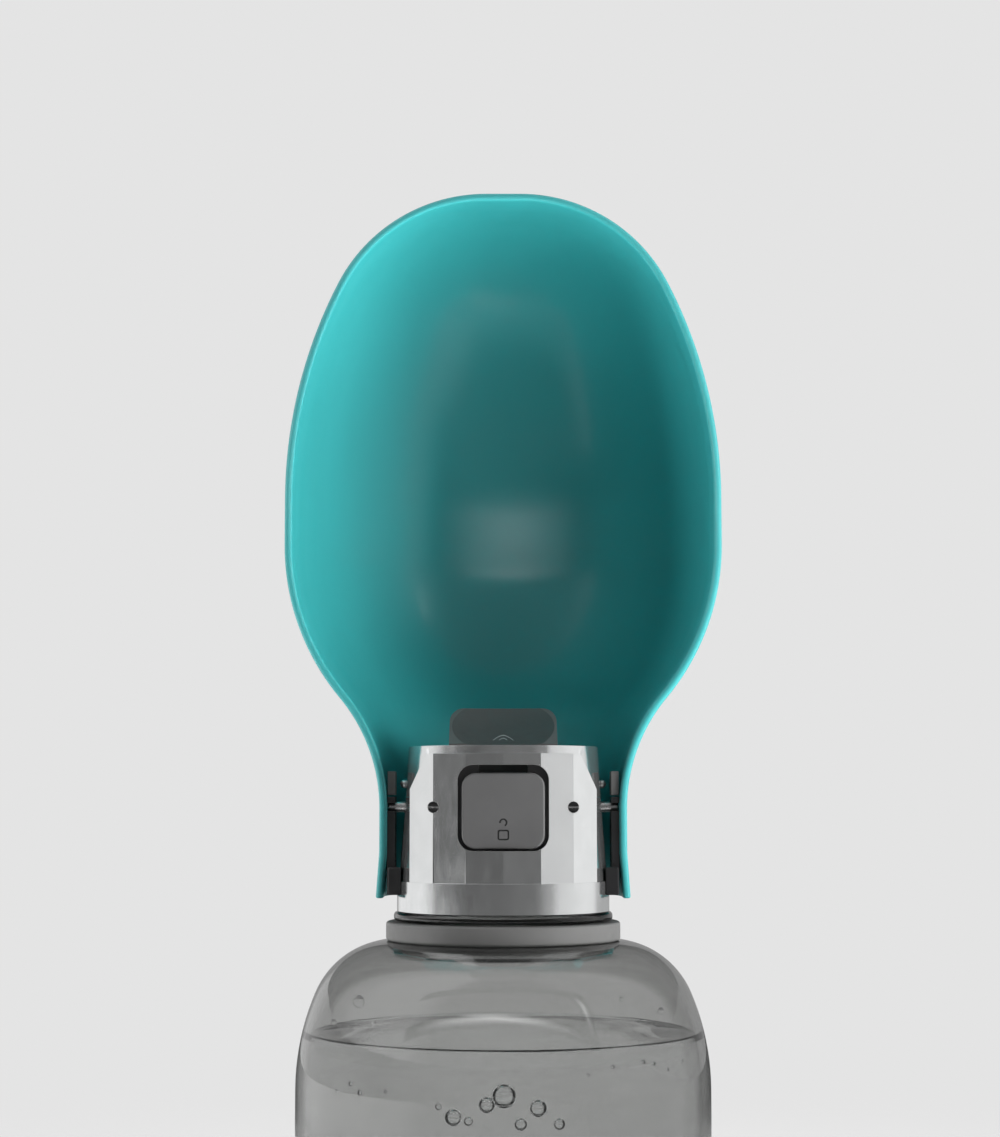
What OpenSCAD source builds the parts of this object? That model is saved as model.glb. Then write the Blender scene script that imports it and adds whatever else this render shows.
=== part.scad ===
// Dog travel water bottle: a clear round bottle, a screw cap with a push valve and a sliding lock,
// and a half-shell drinking bowl that folds 180 degrees forward about two side pins over the bottle.
// Millimetres, +Z up. The origin is the centre of the bottle's base and the cap's front faces -Y.

/* [Bottle] */
// Largest outside radius of the bottle
bottle_r = 38.8; // [37.5:0.1:39.4]
// Wall of the bottle
bottle_wall = 1.6; // [1.2:0.1:2]
// Height at which the lower side reaches the full radius
bottle_low_z = 46; // [44:0.5:48]
// Radius of the lower side's curve
bottle_low_curve = 75; // [72:0.5:80]
// Radius of the curve into the flat base
bottle_foot_curve = 9; // [7:0.5:11]
// Height at which the upper side starts to close in
bottle_high_z = 52.3; // [50:0.1:54]
// Radius of the upper side's curve
bottle_high_curve = 45; // [43:0.5:50]
// Radius of the curve over the shoulder
shoulder_curve = 15.7; // [14:0.1:17]
// Height of the flat top of the shoulder
shoulder_z = 79.5; // [78:0.1:80]
// Rise of the domed floor inside the bottle
floor_rise = 1.6; // [1:0.1:2.4]

/* [Neck] */
// Outside radius of the neck below its bead
neck_low_r = 18; // [17.4:0.1:18.6]
// Radius of the clear bead on the neck
bead_r = 20.6; // [20:0.1:21.2]
// Thickness of the bead
bead_h = 1.8; // [1.4:0.1:2.2]
// Wall of the threaded neck
neck_wall = 1.9; // [1.5:0.1:2.4]
// Height of the threaded neck above the bead
neck_h = 8.1; // [7.8:0.1:8.4]
// Pitch of the cap's thread
thread_pitch = 3.2; // [3:0.1:3.4]
// Height of a thread ridge
thread_depth = 0.8; // [0.6:0.05:0.9]
// Length of the neck's thread, in turns
neck_turns = 1.2; // [1:0.05:1.3]
// Length of the cap's thread, in turns
cap_turns = 1; // [0.8:0.05:1.1]
// Width of the trim ring under the bead, measured along the radius
ring_w = 4; // [3.2:0.1:4.4]
// Height of the trim ring
ring_h = 3.5; // [3:0.1:4]

/* [Cap] */
// Radius of the cap's band
band_r = 20; // [19.8:0.05:20.1]
// Wall of the cap around its threaded insert
cap_wall = 1.55; // [1.3:0.05:1.8]
// Height of the cap's band
band_h = 5.6; // [5:0.1:6.2]
// Height of the cap, from the band's lower edge to the rim
cap_h = 30.7; // [30.2:0.1:31.2]
// Radius of the cap at its rim
cap_top_r = 17.9; // [17.6:0.05:18.2]
// How far the faceted front panel's upper edge lies below the rim
panel_h = 1.5; // [1.1:0.1:2.1]
// Angle that one facet of the panel covers
facet_turn = 20; // [20:0.5:20]
// How far the panel's upper corners are cut off sideways
panel_cut_w = 3.1; // [2:0.1:3.6]
// How far the panel's upper corners are cut off downwards
panel_cut_h = 6.5; // [5:0.1:7.5]
// Radius of the chamber inside the cap
chamber_r = 15.4; // [15.2:0.05:15.5]
// Radius of the well that holds the top plate
well_r = 16.2; // [16:0.05:16.4]
// Thickness of the top plate
top_plate_t = 1.85; // [1.5:0.05:2]
// How far the top plate's upper face lies below the rim
well_depth = 3.5; // [3.2:0.1:3.8]
// Wall of the threaded insert's skirt
skirt_wall = 0.8; // [0.7:0.05:1]
// Thickness of the insert's floor, which is the valve seat
seat_t = 1.6; // [1.2:0.1:1.9]

/* [Valve] */
// Radius of the port in the valve seat
port_r = 3.4; // [3:0.1:3.8]
// Radius of the valve's seal
seal_r = 5.2; // [4.8:0.1:6]
// Thickness of the valve's seal
seal_t = 1.8; // [1.4:0.1:2.2]
// Outside radius of the tower around the valve stem
tower_r = 7.2; // [7:0.1:7.6]
// Wall of the tower
tower_wall = 1.6; // [1.2:0.1:1.8]
// Radius of the valve stem
stem_r = 1.5; // [1.3:0.05:1.7]
// Radius of the collar that the spring pushes on
collar_r = 4.4; // [4.2:0.1:4.8]
// Height of the collar's underside above the valve seat's upper face
collar_z = 8; // [7.6:0.1:8.4]
// Wire of the spring
spring_wire = 0.7; // [0.5:0.05:0.8]
// Mean radius of the spring
spring_r = 3.5; // [3.3:0.05:3.7]
// Turns of the spring
spring_turns = 6; // [5:0.5:7]
// How far the tab is pressed to open the valve
tab_travel = 2.5; // [2:0.1:2.5]
// Bore radius of the outlet
outlet_r = 2; // [1.6:0.1:2.3]
// Wall of the outlet's tube
outlet_wall = 1; // [0.8:0.05:1.2]
// How far the outlet stands out behind the cap's axis
outlet_reach = 21.8; // [21:0.1:22.2]

/* [Press tab] */
// Width of the tab at its base
tab_w = 20.2; // [19:0.1:20.8]
// Height of the tab
tab_h = 8; // [7:0.1:8.2]
// How far the tab reaches forward of the cap's axis
tab_front = 9.6; // [9:0.1:10]
// How far the tab reaches behind the cap's axis
tab_back = 7; // [6:0.1:7.6]
// Gap under the tab when it is up, beyond its travel
tab_gap = 0.4; // [0.3:0.05:0.6]
// Radius of the thumb dish in the tab
dish_r = 17; // [15:0.5:20]
// Depth of the thumb dish
dish_depth = 1.3; // [0.8:0.1:1.5]
// Radius of the tab's shank, which slides in the top plate
shank_r = 4.5; // [4.2:0.05:4.8]

/* [Lock slider] */
// Width of the recess in the cap's front
recess_w = 16.6; // [16:0.1:17]
// How far the recess's upper edge lies below the rim
recess_top = 3.6; // [3.5:0.05:3.8]
// Corner radius of the recess
recess_corner = 2.8; // [2:0.1:3.2]
// How far the recess's lower edge lies above the valve seat
recess_z = 1.1; // [1:0.05:1.3]
// Distance of the recess's floor from the cap's axis
recess_floor = 16.6; // [16.6:0.02:16.7]
// Gap between the slider and the recess on either side
slider_gap = 0.75; // [0.4:0.05:0.9]
// Gap under the slider when it is down
slider_low = 0.35; // [0.2:0.05:0.5]
// Thickness of the slider
slider_t = 2; // [1.8:0.1:2.2]
// How far the slider moves up to lock the tab
lock_travel = 1.4; // [1:0.05:1.4]
// Width of the slider's tongue
tongue_w = 8.4; // [7:0.1:8.8]
// Thickness of the tongue
tongue_t = 1.1; // [0.9:0.05:1.2]
// Height of the slider's post above the slider's lower edge
post_rise = 5; // [4:0.1:6]
// Distance of the tongue's tip from the cap's axis
tongue_reach = 11.8; // [11.6:0.1:12.6]
// Radius of the slider's post
post_r = 1.5; // [1.2:0.1:1.8]
// Radius of the keeper on the post
keeper_r = 3; // [2.6:0.1:3]
// Thickness of the keeper
keeper_t = 0.8; // [0.6:0.05:1]

/* [Bowl] */
// Largest outside radius of the bowl
bowl_r = 41.6; // [41.2:0.1:42.6]
// Wall of the bowl
bowl_wall = 1.5; // [1.3:0.05:1.6]
// How far the arms reach below the hinge
arm_drop = 17; // [15.5:0.1:17.4]
// How much the arms widen at their lower ends
arm_flare = 0.6; // [0:0.1:0.8]
// Angle to which the bowl's side flares out above the arms
flare_turn = 40; // [38:0.5:42]
// Radius of the flare's inward curve
flare_curve = 32.7; // [31:0.1:34]
// Height above the hinge at which the bowl reaches its full radius
belly_z = 49.8; // [49:0.1:51]
// Length of the bowl's straight side
belly_h = 8.9; // [7:0.1:10]
// Height of the bowl's tip above the hinge
bowl_tip = 117.8; // [116.5:0.1:119]
// Turn of the long curve from the side towards the tip
side_turn = 26.7; // [24.7:0.5:28.7]
// Half-width of the flat at the bowl's tip
tip_flat = 3.3; // [2:0.1:4]
// How far the rim lies in front of the hinge
rim_front = 4; // [3.8:0.1:4.4]
// How far the round part starts behind the hinge
bowl_shift = 3; // [2.8:0.1:3.4]

/* [Hinge] */
// How far the hinge lies below the cap's rim
hinge_h = 11.3; // [11.1:0.1:11.5]
// Radius of the hinge pins
pin_r = 1; // [0.9:0.05:1.1]
// Distance of each pin's inner end from the cap's axis
pin_inner = 10.9; // [10.8:0.05:11.2]
// Gap between the cap's band and the hinge plates
plate_gap = 0.3; // [0.25:0.01:0.4]
// Thickness of the hinge plates
plate_t = 1.5; // [1.3:0.05:1.7]
// How far each plate reaches in front of the pin
plate_front = 3.4; // [3:0.1:3.6]
// How far each plate reaches behind the pin
plate_back = 2.8; // [2.4:0.1:2.9]
// How far each plate reaches above the pin
plate_top = 1.9; // [1.7:0.05:2]
// Gap in front of the pin through which a plate snaps on
snap_gap = 1.5; // [1.2:0.05:1.7]
// Height of the detent lugs
lug_h = 4.5; // [4:0.1:5]
// Radius of the detent balls
ball_r = 0.8; // [0.7:0.05:0.85]
// Height of the detent balls above the pins
ball_rise = 4.3; // [4:0.1:4.6]
// Height of the stop blocks
stop_h = 5.1; // [4.5:0.1:5.5]
// Depth of the stop blocks, front to back
stop_d = 2.8; // [2.2:0.1:3.2]
// Radius of the set screws
screw_r = 1; // [0.9:0.05:1.1]
// Distance of the set screws from the cap's axis, sideways
screw_x = 12.85; // [12.6:0.05:12.9]
// How far the set screws' heads stand out from their facets
screw_proud = 0.47; // [0.3:0.01:0.6]
// Radius of the plate screws' shanks
plate_screw_r = 0.8; // [0.7:0.05:0.9]

/* [Fits] */
// Clearance all round a piece that is pressed in or seated
seat_gap = 0.05; // [0.03:0.01:0.06]
// Radial clearance of a piece that slides or turns
run_gap = 0.05; // [0.03:0.01:0.08]
// Clearance between surfaces that pass each other
pass_gap = 0.3; // [0.25:0.05:0.35]

/* [Hidden] */

fine = 180;   // segments of a large circle
small = 48;   // segments of a small circle
cut = 1;      // how far a cutting solid runs past the face that it cuts
bite = 0.3;   // how far a ridge is sunk into the wall that carries it

// Bottle: centres of its curves, and the turns at which they meet
foot_x = bottle_r - bottle_low_curve
  + sqrt(pow(bottle_low_curve - bottle_foot_curve, 2) - pow(bottle_low_z - bottle_foot_curve, 2));
foot_turn = acos((bottle_low_z - bottle_foot_curve) / (bottle_low_curve - bottle_foot_curve));
shoulder_cz = shoulder_z - shoulder_curve;
shoulder_x = bottle_r - bottle_high_curve
  + sqrt(pow(bottle_high_curve - shoulder_curve, 2) - pow(shoulder_cz - bottle_high_z, 2));
shoulder_turn = asin((shoulder_cz - bottle_high_z) / (bottle_high_curve - shoulder_curve));
ring_z = shoulder_z + seat_gap;
bead_z = ring_z + ring_h + seat_gap;
neck_z = bead_z + bead_h;
neck_top = neck_z + neck_h;

// Thread fit, worked inwards from the cap's band
insert_r = band_r - cap_wall - seat_gap;
skirt_r = insert_r - skirt_wall;
neck_core_r = skirt_r - pass_gap - thread_depth;
neck_bore_r = neck_core_r - neck_wall;

// Cap: heights of its levels
cap_z = neck_z + 0.1;
band_top = cap_z + band_h;
rim_z = cap_z + cap_h;
gasket_t = 0.7;
seat_z = neck_top + gasket_t + 2 * seat_gap;
seat_top = seat_z + seat_t;
chamber_z = seat_top + seat_gap;
plate_z = rim_z - well_depth - top_plate_t;
cone_low_r = band_r * cos(facet_turn / 2) - 0.05;
hinge_z = rim_z - hinge_h;
// A height kept to whole micrometres, so that the slabs of an outline meet exactly
function level(z) = round(z * 1000) / 1000;
// Radius of the plain cone at a height
function cone_r(z) = cone_low_r + (cap_top_r - cone_low_r) * (z - band_top) / (rim_z - band_top);

// Threads: the cap's ridge lies half a pitch off the neck's and starts near the neck's upper turn
thread_z = neck_z + 1.3;
cap_start = 0.95;
cap_thread_z = thread_z + thread_pitch * (cap_start - 0.5);
thread_root = 0.65;
thread_crest = 0.3;
thread_steps = 24;

// Tab, slider and outlet
tab_z = plate_z + top_plate_t + tab_travel + tab_gap;
tower_top = plate_z - seat_gap;
collar_low = seat_top + collar_z;
collar_t = 0.8;
outlet_z = hinge_z + 2.2;
slider_w = recess_w - 2 * slider_gap;
recess_low = seat_top + recess_z;
recess_h = rim_z - recess_top - recess_low;
slider_z = recess_low + slider_low;
slider_h = recess_h - slider_low - lock_travel - seat_gap;
slider_y = -recess_floor - 0.1;
post_z = slider_z + post_rise;
tongue_z = slider_z + slider_h - tongue_t + 0.1;

// Hinge, worked outwards from the cap's band: plates, then the bowl's arms
plate_x = band_r + plate_gap;
arm_in = plate_x + plate_t;
arm_r = arm_in + bowl_wall;

// Bowl: centres of its curves
belly_curve = (bowl_r - arm_r) / (1 - cos(flare_turn)) - flare_curve;
flare_z = level(belly_z - (flare_curve + belly_curve) * sin(flare_turn));
dome_z = belly_z + belly_h;
dome_h = bowl_tip - dome_z;
dome_det = (1 - cos(side_turn)) * (1 - sin(side_turn)) - cos(side_turn) * sin(side_turn);
dome_w = bowl_r - tip_flat;
side_curve = (dome_w * (1 - sin(side_turn)) - dome_h * cos(side_turn)) / dome_det;
tip_curve = (dome_h * (1 - cos(side_turn)) - dome_w * sin(side_turn)) / dome_det;

// ---- shared shapes ----

// Everything from the axis out to an arc that bulges, between two heights
module bulge(z0, z1, cx, cz, r) {
  intersection() {
    translate([0, z0]) square([bowl_r * 2, z1 - z0]);
    union() {
      translate([cx, cz]) circle(r = r, $fn = fine);
      if (cx > 0) translate([0, z0]) square([cx, z1 - z0]);
    }
  }
}

// Everything from the axis out to an arc that curves in, between two heights
module waist(z0, z1, cx, cz, r) {
  difference() {
    translate([0, z0]) square([cx, z1 - z0]);
    translate([cx, cz]) circle(r = r, $fn = fine);
  }
}

// A tube or a ring about +Z
module tube(ro, ri, z0, z1) {
  difference() {
    translate([0, 0, z0]) cylinder(r = ro, h = z1 - z0, $fn = fine);
    translate([0, 0, z0 - cut]) cylinder(r = ri, h = z1 - z0 + 2 * cut, $fn = fine);
  }
}

// A disc or a rod about +Z
module rod(r, z0, z1, sides = small) {
  translate([0, 0, z0]) cylinder(r = r, h = z1 - z0, $fn = sides);
}

// A rod along Y, from y0 to y1
module rod_y(r, x, z, y0, y1) {
  translate([x, y1, z]) rotate([90, 0, 0]) cylinder(r = r, h = y1 - y0, $fn = small);
}

// A rod along X, from x0 to x1
module rod_x(r, y, z, x0, x1) {
  translate([x0, y, z]) rotate([0, 90, 0]) cylinder(r = r, h = x1 - x0, $fn = small);
}

// A box given by two corners
module block(low, high) {
  translate(low) cube(high - low);
}

// A rectangle with rounded corners, centred sideways and standing on its lower edge
module rounded(w, h, r) {
  translate([-w / 2 + r, 0]) square([w - 2 * r, h]);
  translate([-w / 2, r]) square([w, h - 2 * r]);
  for (x = [-w / 2 + r, w / 2 - r], y = [r, h - r]) translate([x, y]) circle(r = r, $fn = small);
}

// A flat outline in x and z, made solid between two distances in front of the axis
module front_slab(y0, y1) {
  translate([0, y1, 0]) rotate([90, 0, 0]) linear_extrude(y1 - y0) children();
}

// A swept ridge: rings of points joined into one closed skin
module skin(rings) {
  n = len(rings[0]);
  m = len(rings);
  polyhedron(
    points = [for (ring = rings) each ring],
    faces = [
      [for (i = [n - 1:-1:0]) i],
      for (k = [0:m - 2], i = [0:n - 1]) [k * n + i, k * n + (i + 1) % n, (k + 1) * n + (i + 1) % n],
      for (k = [0:m - 2], i = [0:n - 1]) [k * n + i, (k + 1) * n + (i + 1) % n, (k + 1) * n + i],
      [for (i = [0:n - 1]) (m - 1) * n + i]
    ]
  );
}

// A point at a radius, an angle and a height
function turned(r, a, z) = [r * cos(a), r * sin(a), z];

// A thread ridge from its root radius to its crest, running in and out at its ends
module thread(root_r, crest_r, z0, a0, turns) {
  steps = round(turns * thread_steps);
  rings = [
    for (k = [0:steps])
      let (
        a = a0 + 360 * k / thread_steps,
        z = z0 + thread_pitch * k / thread_steps,
        near = min(k, steps - k),
        crest = root_r + (crest_r - root_r) * min(1, (near + 1.5) / 4)
      )
      [
        turned(root_r, a, z - thread_root), turned(crest, a, z - thread_crest),
        turned(crest, a, z + thread_crest), turned(root_r, a, z + thread_root)
      ]
  ];
  // the ring's order turns over when the crest lies inside the root
  skin(crest_r > root_r ? rings : [for (ring = rings) [ring[3], ring[2], ring[1], ring[0]]]);
}

// ---- bottle ----

// The bottle's outline at a depth below its outer face
module bottle_outline(w) {
  join_low = level(bottle_low_z - (bottle_low_curve - w) * cos(foot_turn));
  join_high = level(bottle_high_z + (bottle_high_curve - w) * sin(shoulder_turn));
  bulge(w, join_low, foot_x, bottle_foot_curve, bottle_foot_curve - w);
  bulge(join_low, bottle_low_z, bottle_r - bottle_low_curve, bottle_low_z, bottle_low_curve - w);
  translate([0, bottle_low_z]) square([bottle_r - w, bottle_high_z - bottle_low_z]);
  bulge(bottle_high_z, join_high, bottle_r - bottle_high_curve, bottle_high_z, bottle_high_curve - w);
  bulge(join_high, shoulder_z - w, shoulder_x, shoulder_cz, shoulder_curve - w);
}

module bottle() {
  dome = (pow(foot_x, 2) + pow(floor_rise, 2)) / (2 * floor_rise);
  color([0.78, 0.83, 0.84, 0.45]) rotate_extrude($fn = fine) difference() {
    bottle_outline(0);
    difference() {
      bottle_outline(bottle_wall);
      translate([0, bottle_wall + floor_rise - dome]) circle(r = dome, $fn = fine);
    }
    translate([0, shoulder_z - bottle_wall - cut]) square([neck_bore_r, bottle_wall + 2 * cut]);
  }
}

// The threaded neck, which is welded to the flat of the bottle's shoulder
module bottle_neck() {
  color([0.78, 0.83, 0.84, 0.45]) union() {
    rotate_extrude($fn = fine) difference() {
      union() {
        translate([0, shoulder_z]) square([neck_low_r, bead_z - shoulder_z + cut]);
        translate([0, bead_z]) square([bead_r, bead_h]);
        translate([0, neck_z]) square([neck_core_r, neck_h]);
      }
      translate([0, shoulder_z - cut]) square([neck_bore_r, neck_top]);
    }
    thread(neck_core_r - bite, neck_core_r + thread_depth, thread_z, 0, neck_turns);
  }
}

module neck_ring() {
  color([0.48, 0.48, 0.47]) tube(neck_low_r + seat_gap + ring_w, neck_low_r + seat_gap, ring_z, ring_z + ring_h);
}

module neck_gasket() {
  color([0.9, 0.9, 0.88])
    tube(neck_core_r - seat_gap, neck_bore_r + seat_gap, neck_top + seat_gap, seat_z - seat_gap);
}

// ---- cap ----

// The many-sided front panel: its outline from above, with a corner straight ahead
module panel_plan() {
  polygon([
    for (k = [-3:3]) band_r * [sin(k * facet_turn), -cos(k * facet_turn)],
    [panel_x, 0], [-panel_x, 0]
  ]);
}
panel_x = band_r * sin(3 * facet_turn);

// The many-sided front panel: its outline from the front
module panel_front() {
  top = rim_z - panel_h;
  polygon([
    [-panel_x, band_top - cut], [panel_x, band_top - cut], [panel_x, top - panel_cut_h],
    [panel_x - panel_cut_w, top], [panel_cut_w - panel_x, top], [-panel_x, top - panel_cut_h]
  ]);
}

module cap_body() {
  rod(band_r, cap_z, band_top, fine);
  translate([0, 0, band_top]) cylinder(r1 = cone_low_r, r2 = cap_top_r, h = rim_z - band_top, $fn = fine);
  intersection() {
    translate([0, 0, band_top - cut]) linear_extrude(cap_h) panel_plan();
    front_slab(-band_r * 2, 0) panel_front();
  }
}

boss_in = pin_inner - 0.4;
boss_half = 3.6;

module hinge_boss() {
  block([boss_in, -chamber_r * 0.65, hinge_z - boss_half], [chamber_r + bite, boss_half, hinge_z + boss_half]);
}

module cap_shell() {
  slot_z = slider_z + slider_h - tongue_t - 0.1;
  color([0.76, 0.77, 0.78]) difference() {
    union() {
      difference() {
        cap_body();
        rod(insert_r + seat_gap, cap_z - cut, chamber_z, fine);
        rod(chamber_r, chamber_z - cut, plate_z + cut, fine);
        rod(well_r, plate_z, rim_z + cut, fine);
      }
      for (side = [0, 1]) mirror([side, 0, 0]) hinge_boss();
    }
    // recess, tongue slot and post slot
    front_slab(-band_r - cut, -recess_floor) translate([0, recess_low]) rounded(recess_w, recess_h, recess_corner);
    block([-tongue_w / 2 - pass_gap, -recess_floor - seat_gap, slot_z],
      [tongue_w / 2 + pass_gap, -chamber_r + cut * 2, recess_low + recess_h + pass_gap]);
    block([-post_r - run_gap, -recess_floor - cut, post_z], [post_r + run_gap, -chamber_r + cut, post_z + lock_travel]);
    for (z = [post_z, post_z + lock_travel])
      rod_y(post_r + run_gap, 0, z, -recess_floor - cut, -chamber_r + cut);
    // outlet
    rod_y(outlet_r + outlet_wall + seat_gap, 0, outlet_z, 0, band_r + cut);
    // pins, set screws and detent balls
    for (side = [0, 1]) mirror([side, 0, 0]) {
      rod_x(pin_r + seat_gap, 0, hinge_z, boss_in - cut, band_r + cut);
      rod_y(screw_r + seat_gap, screw_x, hinge_z, -band_r - cut, -pin_r / 2);
      rod_x(ball_r + seat_gap, 0, hinge_z + ball_rise, ball_x - ball_r - seat_gap, band_r + cut);
    }
  }
}

module cap_insert() {
  color([0.62, 0.63, 0.64]) difference() {
    union() {
      rotate_extrude($fn = fine) difference() {
        union() {
          translate([0, cap_z + 0.3]) square([insert_r, seat_top - cap_z - 0.3]);
          translate([0, seat_top]) square([tower_r, tower_top - seat_top]);
        }
        translate([0, cap_z - cut]) square([skirt_r, seat_z - cap_z + cut]);
        translate([0, seat_z - cut]) square([port_r, seat_t + 2 * cut]);
        translate([0, seat_top]) square([tower_r - tower_wall, tower_top - seat_top + cut]);
      }
      thread(skirt_r + bite, skirt_r - thread_depth, cap_thread_z, 360 * cap_start, cap_turns);
    }
    rod_y(outlet_r + outlet_wall + seat_gap, 0, outlet_z, 0, band_r);
  }
}

module top_plate() {
  color([0.2, 0.21, 0.22]) difference() {
    rod(well_r - seat_gap, plate_z, plate_z + top_plate_t, fine);
    rod(shank_r + run_gap, plate_z - cut, plate_z + top_plate_t + cut);
    block([-tongue_w / 2 - pass_gap, -well_r - cut, plate_z - cut],
      [tongue_w / 2 + pass_gap, -tongue_reach + 2 * pass_gap, plate_z + top_plate_t + cut]);
  }
}

module outlet_spout() {
  tower_in = tower_r - tower_wall + pass_gap;
  flange_y = cone_r(outlet_z - outlet_r - 2 * outlet_wall) + seat_gap;
  color([0.25, 0.26, 0.27]) difference() {
    union() {
      rod_y(outlet_r + outlet_wall, 0, outlet_z, tower_in, outlet_reach);
      rod_y(outlet_r + 2 * outlet_wall, 0, outlet_z, flange_y, flange_y + outlet_wall);
    }
    rod_y(outlet_r, 0, outlet_z, tower_in - cut, outlet_reach + cut);
  }
}

// ---- press tab and valve ----

tab_top = tab_z + tab_h;
tab_edge = 1;
toe_w = tongue_w;

// The tab from the side: y and z
module tab_side() {
  polygon([
    [-tab_front, tab_z], [tab_back, tab_z], [tab_back, tab_top - tab_edge], [tab_back - tab_edge, tab_top],
    [tab_back * 0.2, tab_top], [-tab_front, tab_z + tab_edge]
  ]);
}

module press_tab() {
  slope = atan2(tab_h - tab_edge, tab_front + tab_back * 0.2);
  face = [0, (tab_back * 0.2 - tab_front) / 2, tab_z + (tab_edge + tab_h) / 2];
  color([0.3, 0.31, 0.32]) union() {
    difference() {
      intersection() {
        translate([-tab_w / 2, 0, 0]) rotate([90, 0, 90]) linear_extrude(tab_w) tab_side();
        front_slab(-tab_front, tab_back) translate([0, tab_z - tab_edge * 3]) rounded(tab_w, tab_h + tab_edge * 3, 2.6);
      }
      translate(face + (dish_r - dish_depth) * [0, -sin(slope), cos(slope)]) sphere(r = dish_r, $fn = fine);
    }
    block([-toe_w / 2, -tongue_reach - 1.4, tab_z], [toe_w / 2, -tab_front + cut, tab_z + tab_edge]);
    difference() {
      rod(shank_r, tab_z - shank_l, tab_z + tab_edge / 2);
      rod(stem_r + seat_gap, tab_z - shank_l - cut, tab_z - 1);
    }
  }
}
shank_l = 6.2;

module valve_stem() {
  color([0.86, 0.87, 0.87]) union() {
    rod(stem_r, seat_z - seal_t - clip_t - 1, tab_z - 1 - seat_gap);
    rod(collar_r, collar_low, collar_low + collar_t);
  }
}
clip_t = 0.6;

module valve_seal() {
  color([0.92, 0.92, 0.9]) tube(seal_r, stem_r + seat_gap, seat_z - seat_gap - seal_t, seat_z - seat_gap);
}

module seal_clip() {
  top = seat_z - 2 * seat_gap - seal_t;
  color([0.55, 0.56, 0.57]) tube(stem_r * 1.8, stem_r + seat_gap, top - clip_t, top);
}

module valve_spring() {
  low = seat_top + spring_wire / 2 + seat_gap;
  high = collar_low - spring_wire / 2 - seat_gap;
  steps = 14;
  sides = 6;
  turns = spring_turns;
  rings = [
    for (k = [0:steps * turns])
      let (a = 360 * k / steps, z = low + (high - low) * k / (steps * turns))
      [for (i = [0:sides - 1]) let (b = -360 * i / sides)
        turned(spring_r + spring_wire / 2 * cos(b), a, z + spring_wire / 2 * sin(b))]
  ];
  color([0.7, 0.71, 0.72]) skin(rings);
}

// ---- lock slider ----

module slider_tongue() {
  translate([-tongue_w / 2, 0, 0]) rotate([90, 0, 90]) linear_extrude(tongue_w) polygon([
    [slider_y - slider_t / 2, tongue_z], [-tongue_reach, tongue_z + 0.2], [-tongue_reach, tongue_z + tongue_t],
    [slider_y + 1, tongue_z + tongue_t], [slider_y - slider_t / 2, tongue_z + tongue_t - 0.3]
  ]);
}

// An open padlock, drawn as an outline: a square body and a hook that stands clear of it
module padlock() {
  mark_w = 2.1;
  mark_h = 1.9;
  bow = 0.75;
  line = 0.28;
  hook_z = mark_h + 1.3;
  difference() {
    rounded(mark_w, mark_h, 0.4);
    translate([0, line]) rounded(mark_w - 2 * line, mark_h - 2 * line, 0.15);
  }
  translate([0, hook_z]) difference() {
    circle(r = bow, $fn = small);
    circle(r = bow - line, $fn = small);
    polygon([[0, 0], [-2 * bow, -0.3 * bow], [-2 * bow, -2 * bow], [bow, -2 * bow]]);
  }
}

module lock_slider() {
  color([0.42, 0.42, 0.43]) difference() {
    union() {
      front_slab(slider_y - slider_t, slider_y) translate([0, slider_z]) rounded(slider_w, slider_h, recess_corner - 0.2);
      slider_tongue();
      rod_y(post_r, 0, post_z, slider_y - slider_t / 2, keeper_y + keeper_t);
    }
    front_slab(slider_y - slider_t - cut, slider_y - slider_t + 0.25) translate([0, slider_z + 1.6]) padlock();
  }
}
keeper_y = -sqrt(pow(chamber_r, 2) - pow(keeper_r, 2)) + 0.2;

module lock_keeper() {
  color([0.5, 0.5, 0.5]) difference() {
    rod_y(keeper_r, 0, post_z, keeper_y, keeper_y + keeper_t);
    rod_y(post_r + seat_gap, 0, post_z, keeper_y - cut, keeper_y + keeper_t + cut);
  }
}

// ---- hinge ----

ball_x = cone_r(hinge_z + ball_rise) + 0.35;
// Distance of a facet's face from the axis where the set screw comes out of it
facet_y = (band_r * cos(facet_turn / 2) - screw_x * sin(2 * facet_turn)) / cos(2 * facet_turn);
screw_face = -facet_y - screw_proud;

module hinge_pin() {
  color([0.72, 0.73, 0.73]) rod_x(pin_r, 0, hinge_z, pin_inner, arm_in - 2 * seat_gap);
}

module set_screw() {
  color([0.8, 0.8, 0.8]) difference() {
    rod_y(screw_r, screw_x, hinge_z, screw_face, -pin_r - seat_gap);
    block([screw_x - screw_r - cut, screw_face - cut, hinge_z - 0.18], [screw_x + screw_r + cut, screw_face + 0.45, hinge_z + 0.18]);
  }
}

module detent_ball() {
  color([0.9, 0.9, 0.9]) translate([ball_x, 0, hinge_z + ball_rise]) sphere(r = ball_r, $fn = small);
}

module hinge_stop() {
  y1 = -plate_front - 0.1;
  low = hinge_z - arm_drop + 0.7;
  color([0.08, 0.08, 0.09]) difference() {
    block([band_r - cap_wall, y1 - stop_d, low], [arm_in - pass_gap, y1, low + stop_h]);
    rod(band_r + seat_gap, low - cut, low + stop_h + cut, fine);
  }
}

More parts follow.
